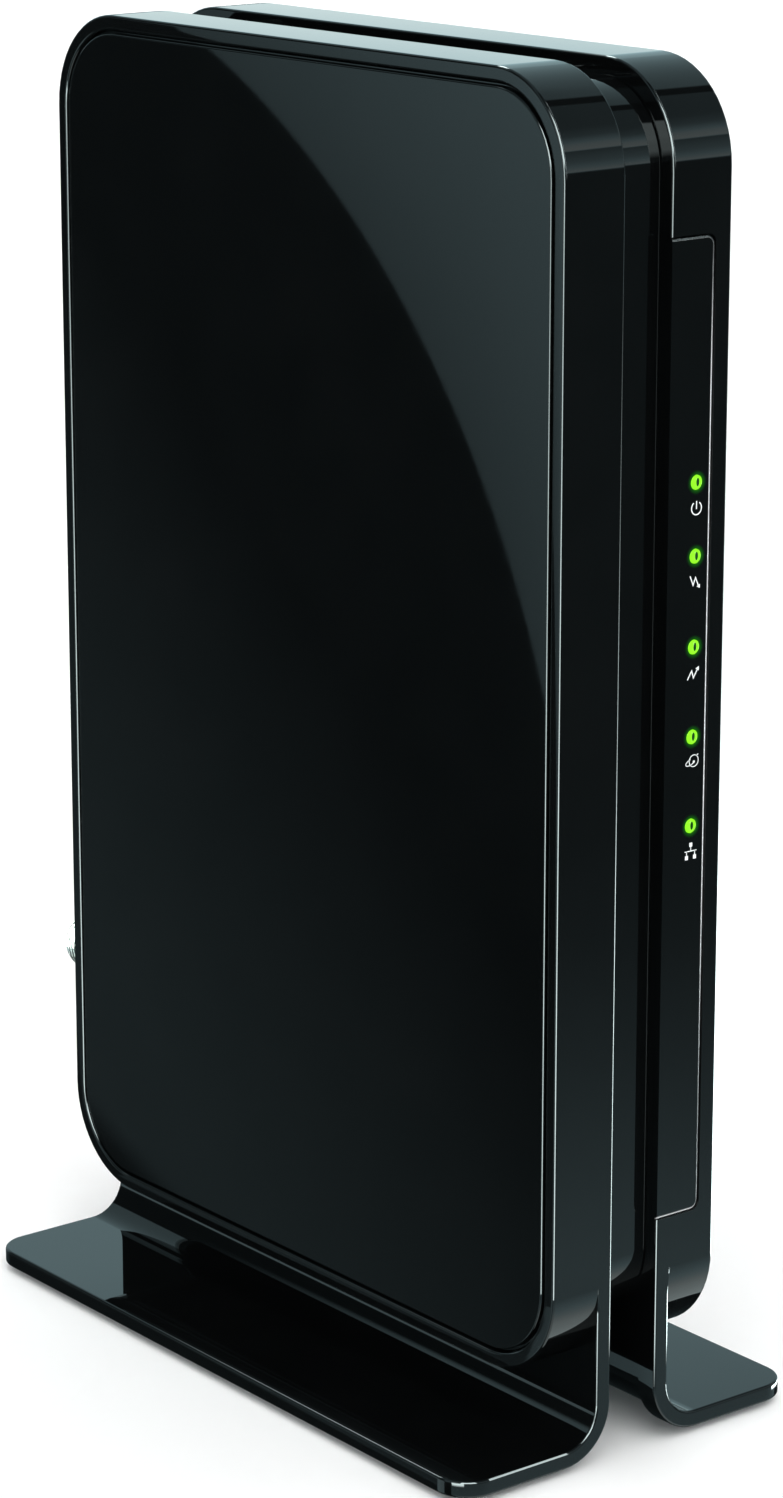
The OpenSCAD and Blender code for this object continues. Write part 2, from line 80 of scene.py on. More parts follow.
class Graph:
    """A short way to add shader nodes and join them."""

    def __init__(self, tree, keep=False):
        self.tree = tree
        if not keep:
            tree.nodes.clear()

    def add(self, kind, inputs=None, **settings):
        node = self.tree.nodes.new("ShaderNode" + kind)
        for name, value in settings.items():
            setattr(node, name, value)
        for name, value in (inputs or {}).items():
            if isinstance(value, bpy.types.NodeSocket):
                self.tree.links.new(value, node.inputs[name])
            else:
                node.inputs[name].default_value = value
        return node

    def math(self, operation, a, b=0.0, clamp=False):
        return self.add("Math", {0: a, 1: b}, operation=operation, use_clamp=clamp).outputs[0]

    def ease(self, value, start, end, low=0.0, high=1.0, kind="SMOOTHSTEP"):
        """Goes from low at start to high at end."""
        ends = {"Value": value, "From Min": start, "From Max": end, "To Min": low, "To Max": high}
        return self.add("MapRange", ends, interpolation_type=kind).outputs["Result"]

    def blend(self, share, a, b):
        """Number a where share is 0, and b where it is 1."""
        return self.add("Mix", {0: share, 2: a, 3: b}, data_type="FLOAT").outputs[0]

    def tint(self, share, a, b):
        """Colour a where share is 0, and b where it is 1."""
        return self.add("Mix", {0: share, 6: a, 7: b}, data_type="RGBA").outputs[2]

    def noise(self, place, scale, detail=2.0, roughness=0.5):
        inputs = {"Vector": place, "Scale": scale, "Detail": detail, "Roughness": roughness}
        return self.add("TexNoise", inputs).outputs[0]

    def stretched(self, place, scale):
        return self.add("Mapping", {"Vector": place, "Scale": scale}).outputs[0]

    def parts(self, vector):
        """The three parts of a vector."""
        return self.add("SeparateXYZ", {0: vector}).outputs


# ---- Materials ----


def surface(name, colour, roughness, metallic=0.0, ior=1.46, mottle=0.12, mottle_scale=90.0,
            wear=0.35, wear_scale=260.0, grain=0.0, grain_scale=5000.0, streaks=None, pattern=None,
            **extra):
    """A procedural material: mottled colour, uneven gloss and fine grain.

    Colour is linear, and mottle is the share by which it changes. Wear is the share by which
    roughness changes. Grain is the height of the relief in metres. Streaks is a stretch per axis
    for drawn or brushed marks. Pattern is a function that returns the base colour."""
    material = bpy.data.materials.new(name)
    material.use_nodes = True
    graph = Graph(material.node_tree)
    place = graph.add("TexCoord").outputs["Object"]
    shade = graph.ease(graph.noise(place, mottle_scale, 4), 0.3, 0.7, kind="LINEAR")
    dark = [c * (1 - mottle) for c in colour] + [1]
    light = [c * (1 + mottle) for c in colour] + [1]
    base = graph.tint(shade, dark, light)
    if pattern:
        base = pattern(graph, place, base)
    marks_place = graph.stretched(place, streaks) if streaks else place
    marks = graph.noise(marks_place, wear_scale, 6, 0.6)
    rough = graph.ease(marks, 0.25, 0.75, roughness * (1 - wear), roughness * (1 + wear), "LINEAR")
    inputs = {"Base Color": base, "Metallic": metallic, "IOR": ior, "Roughness": rough, **extra}
    if grain:
        height = graph.noise(marks_place if streaks else place, grain_scale, 3)
        bump = graph.add("Bump", {"Height": height, "Strength": 0.6, "Distance": grain})
        inputs["Normal"] = bump.outputs[0]
    shader = graph.add("BsdfPrincipled", inputs)
    graph.add("OutputMaterial", {"Surface": shader.outputs[0]})
    return material


BLACK = (0.0018, 0.0021, 0.0022)
SMUDGE = (0.0022, 0.0025, 0.0026, 1)
COPPER_UNDER_MASK = (0.03, 0.24, 0.10, 1)
TINNED_PAD = (0.45, 0.42, 0.30, 1)
LABEL_MARGIN_COLOUR = (0.16, 0.16, 0.17, 1)
LABEL_MARGIN = (1.0 * MM, 1.2 * MM)


def smudged(graph, place, base):
    """Lifts the base colour very slightly in soft patches, as handling film does."""
    film = graph.ease(graph.noise(place, 35, 3), 0.5, 0.8)
    return graph.tint(film, base, SMUDGE)


def board_traces(graph, place, base):
    """Copper tracks and round pads under the solder mask."""
    flat = graph.stretched(place, (0.0, 1.0, 1.0))
    brick = {"Vector": flat, "Scale": 90.0, "Mortar Size": 0.06}
    brick.update({"Color1": (0, 0, 0, 1), "Color2": (0, 0, 0, 1), "Mortar": (1, 1, 1, 1)})
    tracks = graph.add("TexBrick", brick).outputs[0]
    pads = graph.add("TexVoronoi", {"Vector": flat, "Scale": 260.0}).outputs["Distance"]
    tracked = graph.tint(tracks, base, COPPER_UNDER_MASK)
    return graph.tint(graph.ease(pads, 0.22, 0.18), tracked, TINNED_PAD)


def label_print(graph, place, base):
    """A plain film with a darker outer margin."""
    low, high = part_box("rating_label")
    middle, half = (low + high) / 2, (high - low) / 2
    x, _, z = graph.parts(place)
    aside = graph.math("ABSOLUTE", graph.math("SUBTRACT", x, middle.x))
    along = graph.math("ABSOLUTE", graph.math("SUBTRACT", z, middle.z))
    from_side = graph.math("SUBTRACT", half.x, aside)
    from_end = graph.math("SUBTRACT", half.z, along)
    inside = graph.math("MINIMUM", from_side, from_end)
    return graph.tint(graph.ease(inside, *LABEL_MARGIN), LABEL_MARGIN_COLOUR, base)


def principled(material):
    return next(n for n in material.node_tree.nodes if n.type == "BSDF_PRINCIPLED")


def light_emission(name, colour, strength):
    """A dull plastic that glows, of slightly uneven colour."""
    unlit = [0.2 * c for c in colour]
    extra = {"Specular IOR Level": 0.15}
    material = surface(name, unlit, 0.4, mottle=0.2, mottle_scale=900, **extra)
    shader = principled(material)
    shader.inputs["Emission Color"].default_value = (*colour, 1)
    shader.inputs["Emission Strength"].default_value = strength
    return material


GLOW_COLOUR = (0.03, 1.0, 0.01, 1)
GLOW_STRENGTH = 0.09
# The glow is full at the first share of the lens's radius and gone at the second
GLOW_REACH = (0.95, 1.7)


def glowing_window(name, colour):
    """Smoked plastic with a painted green glow close round each lens, standing for the lights behind it.
    """
    material = surface(name, colour, 0.02, ior=1.47, wear=0.3)
    graph = Graph(material.node_tree, keep=True)
    x, _, z = graph.parts(graph.add("TexCoord").outputs["Object"])
    aside = graph.math("SUBTRACT", x, light_x)
    nearest = 1.0
    for centre in light_z:
        above = graph.math("SUBTRACT", z, centre)
        squares = graph.math("ADD", graph.math("POWER", aside, 2.0), graph.math("POWER", above, 2.0))
        nearest = graph.math("MINIMUM", nearest, graph.math("SQRT", squares))
    shader = principled(material)
    shader.inputs["Emission Color"].default_value = GLOW_COLOUR
    full, gone = (LENS_R * share for share in GLOW_REACH)
    glow = graph.ease(nearest, full, gone, GLOW_STRENGTH, 0.0)
    graph.tree.links.new(glow, shader.inputs["Emission Strength"])
    return material


# How pale the painted highlight on the window's side edge is at its ends, and the shares of its height
# over which it changes
EDGE_LOW_END = 0.14
EDGE_LOW_FADE = (0.12, 0.42)
EDGE_TOP_END = 0.08
EDGE_TOP_FADE = (1.0, 0.84)


def painted_edge_highlight(graph, place, base):
    """The window's rounded edge with a painted highlight: pale where it faces down and along the middle of
    its side, black elsewhere.
    """
    z = graph.parts(place)[2]
    normal_z = graph.parts(graph.add("NewGeometry").outputs["Normal"])[2]
    low_fade, top_fade = (
        [window_low.z + share * (window_high.z - window_low.z) for share in fade]
        for fade in (EDGE_LOW_FADE, EDGE_TOP_FADE)
    )
    from_below = graph.ease(z, *low_fade, EDGE_LOW_END, 1.0)
    from_above = graph.ease(z, *top_fade, EDGE_TOP_END, 1.0)
    along_side = graph.math("MULTIPLY", from_below, from_above)
    facing_down = graph.ease(normal_z, -0.15, -0.4)
    facing_up = graph.ease(normal_z, 0.15, 0.4)
    share = graph.math("MAXIMUM", graph.math("SUBTRACT", along_side, facing_up), facing_down)
    return graph.tint(share, (*BLACK, 1), base)


# A polished finish for the outer shells
PIANO = {"roughness": 0.014, "ior": 1.47, "mottle": 0.15, "wear": 0.45}
PIANO.update({"grain": 0.15e-6, "grain_scale": 900})
materials = {
    "gloss_black": surface("gloss_black", BLACK, pattern=smudged, **PIANO),
    "panel_black": surface("panel_black", (0.0016, 0.0019, 0.0020), pattern=smudged, **PIANO),
    "window_smoke": glowing_window("window_smoke", BLACK),
    # Pale grey painted highlight for the window's rounded edge
    "window_edge_highlight": surface("window_edge_highlight", (0.60, 0.61, 0.62), 0.30, mottle=0.04, grain=1e-6,
                           pattern=painted_edge_highlight),
    "satin_black": surface("satin_black", (0.012, 0.012, 0.0125), 0.42, grain=12e-6, grain_scale=2600),
    "rubber": surface("rubber", (0.018, 0.018, 0.018), 0.75, grain=20e-6, grain_scale=1800, mottle=0.25),
    "clear_guide": surface("clear_guide", (0.80, 0.92, 0.80), 0.08, ior=1.49, mottle=0.04,
                           **{"Transmission Weight": 0.75}),
    "label": surface("label", (0.50, 0.50, 0.52), 0.45, mottle=0.05, grain=4e-6, pattern=label_print),
    "zinc": surface("zinc", (0.62, 0.62, 0.58), 0.32, metallic=1.0, mottle=0.18, grain=5e-6, wear=0.5),
    "nickel": surface("nickel", (0.66, 0.65, 0.61), 0.20, metallic=1.0, mottle=0.12, grain=2e-6,
                      streaks=(60, 900, 60), wear=0.5),
    "gold": surface("gold", (0.90, 0.62, 0.20), 0.18, metallic=1.0, mottle=0.10, grain=1e-6),
    "tin": surface("tin", (0.68, 0.68, 0.66), 0.30, metallic=1.0, mottle=0.12, grain=3e-6,
                   streaks=(200, 30, 900), wear=0.5),
    "aluminium": surface("aluminium", (0.70, 0.71, 0.72), 0.38, metallic=1.0, mottle=0.08, grain=5e-6,
                         streaks=(40, 900, 40), wear=0.4),
    "board": surface("board", (0.015, 0.13, 0.055), 0.30, mottle=0.10, grain=6e-6, pattern=board_traces),
    "chip": surface("chip", (0.016, 0.016, 0.017), 0.55, mottle=0.15, grain=8e-6, grain_scale=3200),
    "thermal": surface("thermal", (0.28, 0.38, 0.55), 0.65, mottle=0.12, grain=15e-6, grain_scale=1500),
    "white_plastic": surface("white_plastic", (0.80, 0.80, 0.76), 0.40, mottle=0.05, grain=6e-6),
    "ferrite": surface("ferrite", (0.06, 0.06, 0.065), 0.60, mottle=0.25, grain=18e-6, grain_scale=2200),
    "sleeve": surface("sleeve", (0.025, 0.035, 0.085), 0.35, mottle=0.10, grain=3e-6),
    "ceramic": surface("ceramic", (0.34, 0.23, 0.14), 0.45, mottle=0.25, grain=5e-6, mottle_scale=400),
    "reset_red": surface("reset_red", (0.42, 0.03, 0.02), 0.40, mottle=0.12, grain=5e-6),
    "ink": surface("ink", (0.80, 0.83, 0.83), 0.50, mottle=0.06, mottle_scale=1500, grain=2e-6),
    "lens": light_emission("lens", (0.27, 0.93, 0.014), 0.95),
    # Painted shade inside each lens's slot: a dark plate with a faint painted green glow
    "painted_slot_shade": light_emission("painted_slot_shade", (0.002, 0.06, 0.002), 0.5),
    "led_die": light_emission("led_die", (0.85, 0.95, 0.45), 1.0),
}

# The material of each CAD node that is shown as it is
finishes = {
    "rating_label": "label",
    "case_screws": "zinc",
    "main_board": "board",
    "main_chip": "chip",
    "thermal_pad": "thermal",
    "heatsink": "aluminium",
    "heatsink_pins": "white_plastic",
    "memory_chip": "chip",
    "flash_chip": "chip",
    "voltage_regulators": "chip",
    "power_inductors": "ferrite",
    "electrolytic_capacitors": "sleeve",
    "crystals": "tin",
    "chip_components": "ceramic",
    "status_leds": "led_die",
    "ethernet_transformer": "chip",
    "tuner_chip": "chip",
    "tuner_shield_frame": "tin",
    "tuner_shield_lid": "tin",
    "coax_insulator": "white_plastic",
    "coax_contact": "gold",
    "ethernet_jack_contacts": "gold",
    "power_jack_pin": "nickel",
    "power_jack_spring_contact": "nickel",
    "power_switch_body": "chip",
    "reset_switch_body": "chip",
    "light_guide": "clear_guide",
}
for node, finish in finishes.items():
    data = frame["nodes"][node].data
    data.materials.clear()
    data.materials.append(materials[finish])

behaviour = frame["record"]["behaviour"]
node_bodies = {node: body for body, nodes in behaviour["bodies"].items() for node in nodes}


# ---- Meshes ----

# Faces that meet at more than this angle make an edge
SHARP = math.radians(28)
# Where a ridge is split near a narrow end, as distances from that end
FADE_STEPS = (1.5 * MM, 3.0 * MM, 4.5 * MM)
# A rounding takes at most this share of the narrower face beside it, and none is less than this weight
ROOM_SHARE = 0.45
LEAST_WEIGHT = 0.2
SAME_POINT = 1e-6


def show(piece, material, body=ROOT, replaced=(), edge_material=None):
    """Puts a finished mesh on its body. Its rounded edges may have a material of their own."""
    rounded = [face.material_index for face in piece.data.polygons]
    piece.data.materials.clear()
    piece.data.materials.append(materials[material])
    if edge_material:
        piece.data.materials.append(materials[edge_material])
    else:
        rounded = [0] * len(rounded)
    piece.data.polygons.foreach_set("material_index", rounded)
    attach(piece, body)
    if replaced:
        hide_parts(*replaced)
    return piece


def new_object(name, mesh):
    piece = bpy.data.objects.new(name, mesh)
    bpy.context.scene.collection.objects.link(piece)
    return piece


def with_modifiers_applied(piece):
    graph = bpy.context.evaluated_depsgraph_get()
    mesh = bpy.data.meshes.new_from_object(piece.evaluated_get(graph))
    piece.modifiers.clear()
    piece.data = mesh
    return piece


def room_beside(point, edge, face):
    """How far a face reaches from a point on its edge, square to that edge."""
    loop = next(loop for loop in face.loops if loop.edge == edge)
    along = (loop.link_loop_next.vert.co - loop.vert.co).normalized()
    inward = face.normal.cross(along)
    room = 1.0
    for other in face.edges:
        if other == edge or not other.is_manifold or other.calc_face_angle() < SHARP:
            continue
        a, b = (vertex.co - point for vertex in other.verts)
        a_along, b_along = a.dot(along), b.dot(along)
        if (a_along > 0) == (b_along > 0):
            continue
        share = a_along / (a_along - b_along)
        reach = a.dot(inward) * (1 - share) + b.dot(inward) * share
        if reach > SAME_POINT:
            room = min(room, reach)
    return room


def is_ridge(edge):
    return edge.is_manifold and edge.calc_face_angle_signed() > SHARP


def edge_room(edge, share=0.5):
    point = edge.verts[0].co.lerp(edge.verts[1].co, share)
    return min(room_beside(point, edge, face) for face in edge.link_faces)


def split_narrow_ends(shape, width):
    """Splits long ridges where a face beside them tapers, so that their rounding can fade there."""
    longest = 3 * FADE_STEPS[-1]
    for edge in [e for e in shape.edges if is_ridge(e) and e.calc_length() > longest]:
        for corner in list(edge.verts):
            share = FADE_STEPS[0] / edge.calc_length()
            if edge_room(edge, share if corner == edge.verts[0] else 1 - share) > 2 * width:
                continue
            part = edge
            for step in reversed(FADE_STEPS):
                part, _ = bmesh.utils.edge_split(part, corner, step / part.calc_length())


def weigh_edges(shape, width, sharp_boxes):
    """Gives each ridge the share of the rounding that its faces have room for, or a sharp edge."""
    weight = shape.edges.layers.float.new("bevel_weight_edge")
    for edge in shape.edges:
        ridge = is_ridge(edge)
        middle = (edge.verts[0].co + edge.verts[1].co) / 2
        for low, high in sharp_boxes:
            ridge = ridge and not all(a <= c <= b for a, c, b in zip(low, middle, high))
        share = min(1.0, ROOM_SHARE * edge_room(edge) / width) if ridge else 0.0
        ridge = share > LEAST_WEIGHT
        edge[weight] = share if ridge else 0.0
        edge.smooth = ridge or not edge.is_manifold or edge.calc_face_angle() < SHARP


def round_edges(piece, width, segments=3, sharp_boxes=()):
    """Rounds every ridge that has room, and keeps the flat faces flat in their shading."""
    shape = bmesh.new()
    shape.from_mesh(piece.data)
    shape.normal_update()
    split_narrow_ends(shape, width)
    weigh_edges(shape, width, sharp_boxes)
    shape.to_mesh(piece.data)
    shape.free()
    bevel = piece.modifiers.new("round", "BEVEL")
    bevel.width = width
    bevel.segments = segments
    bevel.limit_method = "WEIGHT"
    bevel.use_clamp_overlap = False
    bevel.material = 1
    normals = piece.modifiers.new("flat_shading", "WEIGHTED_NORMAL")
    normals.weight = 80
    normals.keep_sharp = True
    for face in piece.data.polygons:
        face.use_smooth = True
    return with_modifiers_applied(piece)


def softened(node, material, width, segments=3, front_inset=0.0, sharp_boxes=(), edge_material=None):
    """The CAD node's shape with moulded edges, standing for the node."""
    shape = bmesh.new()
    shape.from_mesh(frame["nodes"][node].data)
    bmesh.ops.remove_doubles(shape, verts=shape.verts, dist=SAME_POINT)
    flat = math.radians(0.5)
    bmesh.ops.dissolve_limit(shape, angle_limit=flat, verts=shape.verts, edges=shape.edges)
    if front_inset:
        front = min(v.co.y for v in shape.verts)
        for vertex in shape.verts:
            if vertex.co.y < front + 10 * SAME_POINT:
                vertex.co.y += front_inset
    mesh = bpy.data.meshes.new(node + "_piece")
    shape.to_mesh(mesh)
    shape.free()
    mesh.materials.append(materials[material])
    mesh.materials.append(materials[edge_material or material])
    piece = round_edges(new_object(node + "_piece", mesh), width, segments, sharp_boxes)
    return show(piece, material, node_bodies[node], [node], edge_material)


def loft(name, loops, closed=False):
    """A solid through loops of points, one after another: a closed ring, or one with flat ends."""
    count = len(loops[0])
    shape = bmesh.new()
    rows = [[shape.verts.new(point) for point in loop] for loop in loops]
    pairs = list(zip(rows, rows[1:]))
    if closed:
        pairs.append((rows[-1], rows[0]))
    for a, b in pairs:
        for i in range(count):
            j = (i + 1) % count
            shape.faces.new((a[i], a[j], b[j], b[i]))
    if not closed:
        shape.faces.new(rows[0])
        shape.faces.new(rows[-1])
    bmesh.ops.recalc_face_normals(shape, faces=shape.faces)
    mesh = bpy.data.meshes.new(name)
    shape.to_mesh(mesh)
    shape.free()
    return new_object(name, mesh)


def joined(name, parts):
    """One object from several, without their shapes being changed."""
    shape = bmesh.new()
    for part in parts:
        shape.from_mesh(part.data)
        bpy.data.objects.remove(part)
    mesh = bpy.data.meshes.new(name)
    shape.to_mesh(mesh)
    shape.free()
    return new_object(name, mesh)


def shade_smooth(piece, angle=30):
    for face in piece.data.polygons:
        face.use_smooth = True
    piece.data.set_sharp_from_angle(angle=math.radians(angle))
    return piece


# ---- Housings, panels and other moulded pieces ----

# Boxes in which edges stay sharp. A corner of FAR lies beyond the object.
FAR = Vector((1, 1, 1))
window_recess = (window_low - Vector((5, 1, 1)) * MM, window_high + Vector((1, 3, 1)) * MM)
behind_window_face = (Vector((-FAR.x, window_low.y + 0.3 * MM, -FAR.z)), FAR)
window_inner_side = (-FAR, Vector((window_low.x + 0.2 * MM, FAR.y, FAR.z)))
window_holes = (
    Vector((light_x - 2 * MM, -FAR.y, light_z[0] - 5 * MM)),
    Vector((light_x + 2 * MM, FAR.y, light_z[-1] + 5 * MM)),
)
softened("left_housing", "gloss_black", 0.4 * MM, 4)
softened("right_housing", "gloss_black", 0.4 * MM, 4, sharp_boxes=[window_recess])
softened("left_side_panel", "panel_black", 0.3 * MM)
softened("right_side_panel", "panel_black", 0.3 * MM)
softened("middle_frame", "gloss_black", 0.35 * MM)
# The window's rounded edge carries the painted highlight
softened("led_window", "window_smoke", 0.5 * MM, front_inset=WINDOW_INSET,
         sharp_boxes=[behind_window_face, window_inner_side, window_holes], edge_material="window_edge_highlight")
softened("rear_panel", "satin_black", 0.3 * MM)
softened("rubber_feet", "rubber", 0.35 * MM)
softened("coax_washer", "nickel", 0.12 * MM)
softened("coax_nut", "nickel", 0.3 * MM)
softened("ethernet_jack_shield", "tin", 0.08 * MM)
softened("ethernet_jack_housing", "chip", 0.15 * MM)
softened("power_jack_housing", "chip", 0.2 * MM)
softened("power_button", "satin_black", 0.4 * MM, 4)
softened("reset_plunger", "reset_red", 0.15 * MM)

# ---- Spring behind the power button, on a mesh of its own; in the modem it shortens as the button goes in ----

spring = new_object("power_switch_spring_piece", frame["nodes"]["power_switch_spring"].data.copy())
show(spring, "zinc", ROOT, ["power_switch_spring"])
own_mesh(spring)

# ---- Coaxial connector with its real thread ----

THREAD_PITCH = 25.4 / 32 * MM
THREAD_DEPTH = 0.42 * MM
# Rows of points in each turn of the thread, and points round it
THREAD_STEPS = 10
CIRCLE_STEPS = 64
THREAD_R = 4.76 * MM
BORE_R = 2.9 * MM
TIP_CHAMFER = 0.7 * MM
BORE_CHAMFER = 0.25 * MM
# How far the barrel starts behind the nut, inside the panel
BEHIND_NUT = 2.5 * MM


def circle_points(x, z, y, radius_at, steps=CIRCLE_STEPS):
    """Points round the y axis at x and z, where radius_at gives the radius at each angle."""
    points = []
    for i in range(steps):
        angle = 2 * math.pi * i / steps
        radius = radius_at(angle)
        points.append((x + radius * math.cos(angle), y, z + radius * math.sin(angle)))
    return points


def coax_body():
    """The threaded barrel and, behind the panel, the block that it comes out of."""
    x, z = (nut_low.x + nut_high.x) / 2, (nut_low.z + nut_high.z) / 2
    start, tip = nut_low.y - BEHIND_NUT, coax_high.y
    rows = math.ceil((tip - start) / THREAD_PITCH * THREAD_STEPS)

    def thread_radius(y):
        limit = THREAD_R - max(0.0, TIP_CHAMFER - (tip - y)) * 0.9

        def at(angle):
            phase = ((y - start) / THREAD_PITCH - angle / (2 * math.pi)) % 1
            ridge = min(1.0, max(0.0, 1.6 * (1 - abs(2 * phase - 1)) - 0.3))
            return min(THREAD_R - THREAD_DEPTH * (1 - ridge), limit)

        return at

    loops = []
    for row in range(rows + 1):
        y = start + (tip - start) * row / rows
        loops.append(circle_points(x, z, y, thread_radius(y)))
    for radius, y in ((BORE_R + BORE_CHAMFER, tip), (BORE_R, tip - BORE_CHAMFER), (BORE_R, start)):
        loops.append(circle_points(x, z, y, lambda angle, r=radius: r))
    barrel = shade_smooth(loft("coax_barrel", loops, closed=True), 35)

    low, high = coax_low, coax_high
    corners = [(low.x, low.z), (high.x, low.z), (high.x, high.z), (low.x, high.z)]
    # The block is as deep as it is high
    depths = (low.y, low.y + high.z - low.z)
    block = loft("coax_block", [[(cx, y, cz) for cx, cz in corners] for y in depths])
    return joined("coax_connector_body_piece", [barrel, round_edges(block, 0.3 * MM)])


body_piece = shade_smooth(coax_body(), 35)
show(body_piece, "nickel", ROOT, ["coax_connector_body"])

# ---- Lights ----

# Half the width and half the height of the slot in a lens, and how far it is off the middle
SLOT = (0.26 * MM, 0.58 * MM)
SLOT_SHIFT = 0.24 * MM
slot_x = light_x + SLOT_SHIFT
LENS_BACK = 0.45 * MM
window_face = window_low.y + WINDOW_INSET


def ellipse(x, z, y, half_x, half_z, steps=40):
    turn = [2 * math.pi * i / steps for i in range(steps)]
    return [(x + half_x * math.cos(a), y, z + half_z * math.sin(a)) for a in turn]


def light_lens(z):
    """A low domed lens with a slot through it."""
    face = window_low.y + 0.02 * MM
    loops = [
        ellipse(light_x, z, face + LENS_BACK, LENS_R, LENS_R),
        ellipse(light_x, z, face + 0.14 * MM, LENS_R, LENS_R),
        ellipse(light_x, z, face + 0.03 * MM, LENS_R * 0.88, LENS_R * 0.88),
        ellipse(slot_x * 0.4 + light_x * 0.6, z, face, LENS_R * 0.62, LENS_R * 0.75),
        ellipse(slot_x, z, face + 0.04 * MM, SLOT[0] * 1.25, SLOT[1] * 1.12),
        ellipse(slot_x, z, face + 0.18 * MM, *SLOT),
        ellipse(slot_x, z, face + LENS_BACK, *SLOT),
    ]
    return loft("lens", loops, closed=True)


def slot_shade_plate(z):
    """A thin dark plate across the slot, just in front of the guide's tip, as painted shade inside the
    slot.
    """
    size = [s * 1.12 for s in SLOT]
    depths = (window_low.y + 0.12 * MM, window_low.y + 0.18 * MM)
    return loft("slot", [ellipse(slot_x, z, y, *size) for y in depths])


lenses = shade_smooth(joined("light_lenses", [light_lens(z) for z in light_z]), 60)
show(lenses, "lens")
# Dark plates with painted shade in the lens slots
slots = joined("slot_shades", [slot_shade_plate(z) for z in light_z])
show(slots, "painted_slot_shade")

# ---- Symbols printed under the lights ----

# Widths of the printed lines, and the depths between which the ink lies
INK_WIDTH = 0.17 * MM
FINE_INK = 0.12 * MM
INK_BACK = window_face + 0.02 * MM
INK_FRONT = window_face - 0.03 * MM


def stroke(points, width=INK_WIDTH, closed=False):
    """A printed line through points in millimetres of x and z, as a thin solid."""
    points = [Vector(p) * MM for p in points]
    loops = []
    for i, point in enumerate(points):
        before = points[i - 1] if i or closed else point
        after = points[(i + 1) % len(points)] if i < len(points) - 1 or closed else point
        along_in = (point - before).normalized() if point != before else (after - point).normalized()
        along_out = (after - point).normalized() if after != point else along_in
        along = (along_in + along_out).normalized()
        side = Vector((-along.y, along.x))
        # A corner reaches further out than a straight line does, up to a limit
        reach = width / 2 / max(0.4, along.dot(along_in))
        a, b = point + side * reach, point - side * reach
        section = ((a, INK_BACK), (a, INK_FRONT), (b, INK_FRONT), (b, INK_BACK))
        loops.append([(corner.x, y, corner.y) for corner, y in section])
    return loft("stroke", loops, closed)


def patch(points):
    """A printed filled shape."""
    return loft("patch", [[(x * MM, y, z * MM) for x, z in points] for y in (INK_BACK, INK_FRONT)])


def arc(x, z, radius, start, end, steps=28, squash=1.0, tilt=0.0):
    """Points from start to end in degrees round an ellipse that is tilted by tilt degrees."""
    c, s = math.cos(math.radians(tilt)), math.sin(math.radians(tilt))
    points = []
    for i in range(steps + 1):
        angle = math.radians(start + (end - start) * i / steps)
        u, v = radius * math.cos(angle), radius * squash * math.sin(angle)
        points.append((x + u * c - v * s, z + u * s + v * c))
    return points


def power_symbol(x, z):
    return [stroke(arc(x, z, 0.95, 124, 416)), stroke([(x, z - 0.12), (x, z + 1.05)])]


def arrow_symbol(x, z, line, head):
    """A zigzag line that ends in an arrow head."""
    return [stroke([(x + u, z + v) for u, v in line]), patch([(x + u, z + v) for u, v in head])]


def down_symbol(x, z):
    line = [(-1.0, 0.95), (-0.4, -0.45), (0.05, 0.62), (0.62, -0.6)]
    return arrow_symbol(x, z, line, [(0.28, -0.7), (0.92, -0.42), (0.9, -1.02)])


def up_symbol(x, z):
    line = [(-1.2, -1.0), (-0.38, 0.28), (-0.03, -0.8), (0.7, 0.35)]
    return arrow_symbol(x, z, line, [(0.34, 0.52), (0.98, 0.14), (1.02, 0.82)])


def globe_symbol(x, z):
    """A globe with an orbit that comes round its left side, and a dot."""
    return [
        stroke(arc(x + 0.33, z + 0.15, 0.88, 0, 348, 30), FINE_INK, closed=True),
        stroke(arc(x - 0.3, z, 0.95, 80, 300, squash=0.42, tilt=20), FINE_INK),
        stroke([(x + 0.76, z + 0.84), (x + 1.18, z + 1.05)], FINE_INK),
        patch(arc(x + 0.35, z, 0.2, 0, 337.5, 15)),
    ]


def network_symbol(x, z):
    """One box above a bar, and two boxes that hang from it."""
    boxes = [(0.05, 0.9), (-0.75, -1.0), (0.82, -1.0)]
    stems = [(0.05, -0.05, 0.6), (-0.75, -0.05, -0.7), (0.82, -0.05, -0.7)]
    shapes = [stroke([(x - 1.15, z - 0.05), (x + 1.2, z - 0.05)], FINE_INK)]
    for u, v in boxes:
        corners = [(-0.28, -0.31), (0.28, -0.31), (0.28, 0.31), (-0.28, 0.31)]
        shapes.append(patch([(x + u + a, z + v + b) for a, b in corners]))
    for u, low, high in stems:
        shapes.append(stroke([(x + u, z + low), (x + u, z + high)], FINE_INK))
    return shapes


# How far each symbol's middle lies below its light, in millimetres
SYMBOL_DROP = 3.75
symbol_x = light_x / MM
drop = [z / MM - SYMBOL_DROP for z in light_z]
symbols = [
    *network_symbol(symbol_x, drop[0]),
    *globe_symbol(symbol_x, drop[1]),
    *up_symbol(symbol_x, drop[2]),
    *down_symbol(symbol_x, drop[3]),
    *power_symbol(symbol_x, drop[4]),
]
show(joined("light_symbols", symbols), "ink")


# ---- Studio ----


def radiance_curve(graph, value, stops, top):
    """Radiance along straight lines through (degrees, radiance) stops, none of them above top."""
    start, end = stops[0][0], stops[-1][0]
    share = graph.ease(value, start, end, kind="LINEAR")
    node = graph.add("ValToRGB", {"Fac": share})
    ramp = node.color_ramp
    while len(ramp.elements) < len(stops):
        ramp.elements.new(0.5)
    for element, (degrees, radiance) in zip(ramp.elements, stops):
        element.position = (degrees - start) / (end - start)
        element.color = (radiance / top,) * 3 + (1,)
    return graph.math("MULTIPLY", node.outputs[0], top)


